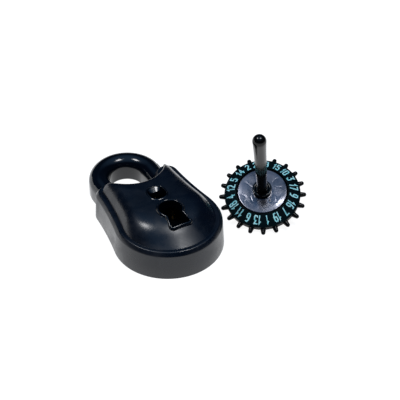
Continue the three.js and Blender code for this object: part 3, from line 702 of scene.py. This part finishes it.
def mix_colour(tree, factor, a, b):
    node = tree.nodes.new("ShaderNodeMix")
    node.data_type = "RGBA"
    tree.links.new(factor, node.inputs["Factor"])
    for socket, value in ((node.inputs[6], a), (node.inputs[7], b)):
        if isinstance(value, tuple):
            socket.default_value = (*value, 1.0)
        else:
            tree.links.new(value, socket)
    return node.outputs[2]


def math_node(tree, operation, a, b):
    node = tree.nodes.new("ShaderNodeMath")
    node.operation = operation
    for socket, value in zip(node.inputs, (a, b)):
        if isinstance(value, (int, float)):
            socket.default_value = value
        else:
            tree.links.new(value, socket)
    return node.outputs["Value"]


def bump(tree, height, strength, distance, normal=None):
    node = tree.nodes.new("ShaderNodeBump")
    node.inputs["Strength"].default_value = strength
    node.inputs["Distance"].default_value = distance
    tree.links.new(height, node.inputs["Height"])
    if normal is not None:
        tree.links.new(normal, node.inputs["Normal"])
    return node.outputs["Normal"]


def gloss_plastic(name, dark, light, dust, roughness, peel=0.02, dust_amount=0.55, metallic=0.0,
                  specular=0.5):
    """Moulded plastic or lacquer: colour drift, dust, smudges, fine scratches and a faint orange peel."""
    material, tree, bsdf = shader(name)
    at = coordinates(tree)
    drift = remap(tree, noise_value(tree, at, 60, 4), 0.3, 0.7, 0, 1)
    body = mix_colour(tree, drift, dark, light)
    specks = remap(tree, noise_value(tree, at, 1500, 1.5, 0.4), 0.73, 0.80, 0, 1)
    patches = remap(tree, noise_value(tree, at, 110, 3), 0.45, 0.7, 0, dust_amount)
    speck_mask = math_node(tree, "MULTIPLY", specks, patches)
    edges = tree.nodes.new("ShaderNodeNewGeometry").outputs["Pointiness"]
    edge_mask = math_node(tree, "MULTIPLY", remap(tree, edges, 0.53, 0.62, 0, 0.3), patches)
    mask = math_node(tree, "MAXIMUM", speck_mask, edge_mask)
    tree.links.new(mix_colour(tree, mask, body, dust), bsdf.inputs["Base Color"])
    smudge = remap(tree, noise_value(tree, at, 90, 5, 0.62, 0.4), 0.35, 0.75,
                   roughness * 0.75, roughness * 1.9)
    along = coordinates(tree, (1, 0.03, 1))
    across = coordinates(tree, (0.04, 1, 1))
    scratch_a = remap(tree, noise_value(tree, along, 2600, 1), 0.70, 0.76, 0, 1)
    scratch_b = remap(tree, noise_value(tree, across, 2300, 1), 0.71, 0.77, 0, 1)
    scratches = math_node(tree, "MAXIMUM", scratch_a, scratch_b)
    worn = math_node(tree, "MULTIPLY", scratches, patches)
    rough = math_node(tree, "ADD", smudge, math_node(tree, "MULTIPLY", worn, 0.175))
    rough = math_node(tree, "ADD", rough, math_node(tree, "MULTIPLY", speck_mask, 0.4))
    tree.links.new(rough, bsdf.inputs["Roughness"])
    bsdf.inputs["IOR"].default_value = 1.5
    bsdf.inputs["Metallic"].default_value = metallic
    bsdf.inputs["Specular IOR Level"].default_value = specular
    peel_normal = bump(tree, noise_value(tree, at, 520, 2), 0.35, peel * MM)
    scratch_normal = bump(tree, worn, -0.125, 0.01 * MM, peel_normal)
    tree.links.new(scratch_normal, bsdf.inputs["Normal"])
    return material


def brushed_metal(name, dark, light, roughness=0.3, tarnish=(0.1, 0.08, 0.06)):
    """Plain metal with grain along one way, stains and uneven polish."""
    material, tree, bsdf = shader(name)
    at = coordinates(tree)
    lines = noise_value(tree, coordinates(tree, (1, 0.05, 1)), 900, 4, 0.6)
    tone = mix_colour(tree, remap(tree, lines, 0.3, 0.7, 0, 1), dark, light)
    stain = remap(tree, noise_value(tree, at, 180, 5, 0.6), 0.55, 0.8, 0, 0.5)
    tree.links.new(mix_colour(tree, stain, tone, tarnish), bsdf.inputs["Base Color"])
    bsdf.inputs["Metallic"].default_value = 1.0
    rough = math_node(tree, "ADD", remap(tree, lines, 0.3, 0.7, roughness * 0.8, roughness * 1.2),
                      math_node(tree, "MULTIPLY", stain, 0.4))
    tree.links.new(rough, bsdf.inputs["Roughness"])
    tree.links.new(bump(tree, lines, 0.3, 0.01 * MM), bsdf.inputs["Normal"])
    return material


def enamel(name, core, edge):
    """Painted numbers: uneven thin paint with missing specks."""
    material, tree, bsdf = shader(name)
    at = coordinates(tree)
    flow = remap(tree, noise_value(tree, at, 700, 3), 0.35, 0.7, 0, 1)
    colour = mix_colour(tree, flow, core, edge)
    chips = remap(tree, noise_value(tree, at, 2600, 2), 0.66, 0.72, 0, 0.7)
    tree.links.new(mix_colour(tree, chips, colour, (0.02, 0.08, 0.09)), bsdf.inputs["Base Color"])
    tree.links.new(remap(tree, flow, 0, 1, 0.3, 0.5), bsdf.inputs["Roughness"])
    tree.links.new(bump(tree, noise_value(tree, at, 1800, 2), 0.4, 0.02 * MM), bsdf.inputs["Normal"])
    return material


NAVY = gloss_plastic("gloss_navy", (0.0004, 0.0015, 0.0040), (0.0007, 0.0025, 0.0065),
                     (0.012, 0.014, 0.018), 0.11)
SATIN = gloss_plastic("satin_navy", (0.0004, 0.0022, 0.0065), (0.0007, 0.0035, 0.0100),
                      (0.010, 0.013, 0.018), 0.24)
BLACK = gloss_plastic("dial_black", (0.0012, 0.0013, 0.0016), (0.002, 0.0022, 0.0026),
                      (0.02, 0.02, 0.022), 0.16, peel=0.04, specular=0.12)
TEAL = gloss_plastic("ring_teal", (0.0012, 0.004, 0.0055), (0.002, 0.007, 0.009),
                     (0.02, 0.03, 0.035), 0.22, peel=0.03, specular=0.06)
VIOLET = gloss_plastic("violet_gloss", (0.02, 0.024, 0.03), (0.21, 0.21, 0.24),
                       (0.1, 0.1, 0.11), 0.2, peel=0.10, metallic=1.0)
POST_GREY = gloss_plastic("post_gunmetal", (0.0015, 0.0016, 0.002), (0.0025, 0.0027, 0.003),
                          (0.03, 0.03, 0.03), 0.08, dust_amount=0.25, specular=0.3)
STEEL = brushed_metal("steel", (0.35, 0.36, 0.37), (0.55, 0.56, 0.57))
SPRING = brushed_metal("spring_steel", (0.22, 0.23, 0.25), (0.38, 0.39, 0.41), 0.25)
BRASS = brushed_metal("brass", (0.45, 0.29, 0.10), (0.62, 0.42, 0.17), tarnish=(0.12, 0.07, 0.03))
NUMBER_PAINT = enamel("number_paint", (0.20, 0.66, 0.72), (0.55, 0.90, 0.93))


def dress(obj, material):
    obj.data.materials.clear()
    obj.data.materials.append(material)


def piece(obj, material, body, slot, *nodes):
    dress(obj, material)
    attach(obj, body)
    if nodes:
        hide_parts(*nodes)


# ---------- the object ----------
TREE = surface_tree()
LIP = [(0.0, None), (0.0, -0.6), (0.0, 0.3), (0.06, 0.55), (0.2, 0.72), (0.42, 0.8), (0.62, 0.78),
       (0.85, 0.64), (1.02, 0.4), (1.12, 0.16), (1.3, 0.03), (1.45, -0.05), (1.45, -0.4), (1.2, None)]
FRAME_LIP = [(0.0, None), (0.0, -1.3), (0.0, -0.2), (0.0, -0.05), (0.08, 0.14), (0.25, 0.24), (0.45, 0.24),
             (0.65, 0.16), (0.85, 0.04), (0.95, -0.05), (0.95, -0.4), (0.9, None)]
FRAME_SLANT = 2.1
piece(front_casing(TREE), SATIN, "casing", "gloss_navy", "front_casing")
piece(bead("keyhole_lip", keyhole_path(), LIP, TREE), NAVY, "casing", "gloss_navy", "keyhole_bezel")
piece(bead("window_lip", window_path(), FRAME_LIP, TREE, FRAME_SLANT), NAVY, "casing", "gloss_navy",
      "window_frame")
piece(shackle(), NAVY, "shackle", "gloss_navy", "shackle")
piece(dial_wheel(), BLACK, "dial", "dial_black", "dial_wheel")
piece(number_ring(), TEAL, "dial", "ring_teal", "number_ring")
piece(centre_disc(), VIOLET, "dial", "violet_gloss", "centre_disc")
piece(hub_collar(), POST_GREY, "dial", "gunmetal", "hub_collar")
piece(post(), POST_GREY, "dial", "gunmetal", "dial_spindle")
piece(dial_numbers(), NUMBER_PAINT, "dial", "ring_teal")

BY_SLOT = {"gloss_navy": NAVY, "dial_black": BLACK, "ring_teal": TEAL, "violet_gloss": VIOLET,
           "gunmetal": POST_GREY, "steel": STEEL, "spring_steel": SPRING, "brass": BRASS}
for row in RECORD["subparts"]:
    dress(frame["nodes"][row["node"]], BY_SLOT[row["material_slot"]])

# ---------- table, light and camera ----------
TARGET = Vector((26.45, 18.4, 0)) * MM
EYE = Vector((-232.8, -448.3, 448.0)) * MM


def table():
    """A pale floor that glows softly round the object and fades away from it."""
    size = 2.5
    mesh = bpy.data.meshes.new("table")
    corners = [(-size, -size, 0), (size, -size, 0), (size, size, 0), (-size, size, 0)]
    mesh.from_pydata(corners, [], [(0, 1, 2, 3)])
    obj = bpy.data.objects.new("table", mesh)
    bpy.context.scene.collection.objects.link(obj)
    material, tree, bsdf = shader("table_glow_white")
    at = coordinates(tree)
    tone = remap(tree, noise_value(tree, at, 8, 2), 0.3, 0.7, 0, 1)
    tree.links.new(mix_colour(tree, tone, (0.24, 0.24, 0.24), (0.27, 0.27, 0.27)), bsdf.inputs["Base Color"])
    bsdf.inputs["Roughness"].default_value = 0.8
    bsdf.inputs["Specular IOR Level"].default_value = 0.0
    bsdf.inputs["Emission Color"].default_value = (1, 1, 1, 1)
    # painted light: the floor's emission is a glow round the object, fading away from it, that lifts the
    # shadows there
    away = tree.nodes.new("ShaderNodeVectorMath")
    away.operation = "LENGTH"
    tree.links.new(at, away.inputs[0])
    tree.links.new(remap(tree, away.outputs["Value"], 0.25, 0.8, 0.93, 0.1), bsdf.inputs["Emission Strength"])
    dress(obj, material)


def softbox(name, azimuth, elevation, distance, size, radiance):
    """An area light aimed at the object; azimuth 0 is the camera's side, positive towards its left."""
    base = math.atan2(EYE.y - TARGET.y, EYE.x - TARGET.x) - math.radians(azimuth)
    lift = math.radians(elevation)
    flat = math.cos(lift)
    offset = Vector((math.cos(base) * flat, math.sin(base) * flat, math.sin(lift))) * distance
    data = bpy.data.lights.new(name, "AREA")
    data.shape = "RECTANGLE"
    data.size, data.size_y = size
    data.energy = radiance * math.pi * size[0] * size[1]
    light = bpy.data.objects.new(name, data)
    light.location = TARGET + offset
    light.rotation_euler = (-offset).to_track_quat("-Z", "Y").to_euler()
    bpy.context.scene.collection.objects.link(light)


def camera():
    data = bpy.data.cameras.new("camera")
    data.sensor_width = 36
    data.lens = 135
    data.clip_start, data.clip_end = 0.01, 20
    obj = bpy.data.objects.new("camera", data)
    obj.location = EYE
    obj.rotation_euler = (TARGET - EYE).to_track_quat("-Z", "Y").to_euler()
    bpy.context.scene.collection.objects.link(obj)
    bpy.context.scene.camera = obj


def studio_sky():
    """A dark room with a wide, dim, bluish ceiling light: colour by the height of the direction."""
    world = bpy.data.worlds.new("studio")
    bpy.context.scene.world = world
    world.use_nodes = True
    tree = world.node_tree
    source = tree.nodes.new("ShaderNodeTexCoord")
    split = tree.nodes.new("ShaderNodeSeparateXYZ")
    tree.links.new(source.outputs["Generated"], split.inputs["Vector"])
    height = remap(tree, split.outputs["Z"], 0.62, 0.96, 0, 1)
    colour = mix_colour(tree, height, (0.010, 0.015, 0.022), (0.20, 0.38, 0.66))
    tree.links.new(colour, tree.nodes["Background"].inputs["Color"])


table()
softbox("key", 87, 65, 1.0, (0.24, 0.24), 17)
softbox("right", -69, 72, 1.1, (0.26, 0.26), 20)
softbox("left_card", 105, 3, 0.8, (0.8, 0.08), 2.0)
camera()
studio_sky()
bpy.context.scene.view_settings.view_transform = "Standard"
